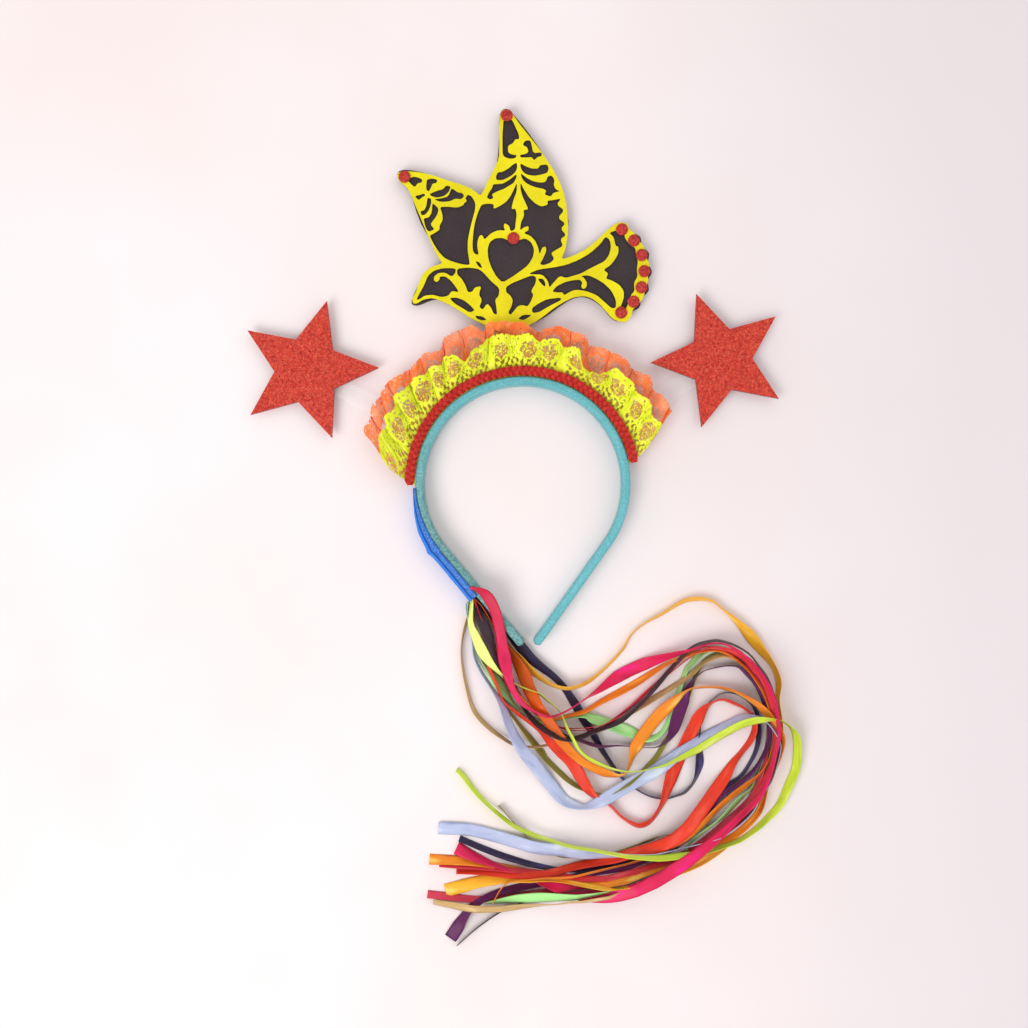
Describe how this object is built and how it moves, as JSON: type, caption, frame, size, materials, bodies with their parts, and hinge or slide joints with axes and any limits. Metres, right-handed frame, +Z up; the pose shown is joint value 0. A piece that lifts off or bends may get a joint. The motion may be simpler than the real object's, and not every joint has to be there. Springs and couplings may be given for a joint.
{
  "type": "tiara",
  "caption": "Festive headband tiara with gathered lace frills, plaited trim, a pierced dove plate, glitter stars on clear stays and a bundle of satin ribbon streamers",
  "frame": {"origin": "the middle of the footprint, on the surface that the tiara lies on", "axes": "+Z up out of the surface, +Y from the ribbons towards the crown and the dove, +X to the viewer's right, with the dove's head to the left"},
  "size_m": [0.2934, 0.453, 0.0158],
  "materials": {
    "aqua_satin": "satin",
    "red_braid": "matt",
    "yellow_lace": "matt",
    "orange_lace": "matt",
    "black_board": "matt",
    "yellow_board": "satin",
    "red_glitter": "glitter",
    "clear_film": "clear gloss",
    "blue_strip": "satin",
    "ribbon_satin": "satin"
  },
  "bodies": {
    "root": {"band": "aqua_satin", "braid_trim": "red_braid", "lace_front": "yellow_lace", "lace_back": "orange_lace", "dove_backing": "black_board", "dove_fretwork": "yellow_board", "dot_wing_big": "red_glitter", "dot_wing_small": "red_glitter", "dot_heart": "red_glitter", "dot_tail_1": "red_glitter", "dot_tail_2": "red_glitter", "dot_tail_3": "red_glitter", "dot_tail_4": "red_glitter", "dot_tail_5": "red_glitter", "dot_tail_6": "red_glitter", "dot_tail_7": "red_glitter", "star_left": "red_glitter", "star_right": "red_glitter", "stay_left": "clear_film", "stay_right": "clear_film", "ribbon_holder": "blue_strip", "ribbon_streamers": "ribbon_satin"}
  },
  "joints": []
}
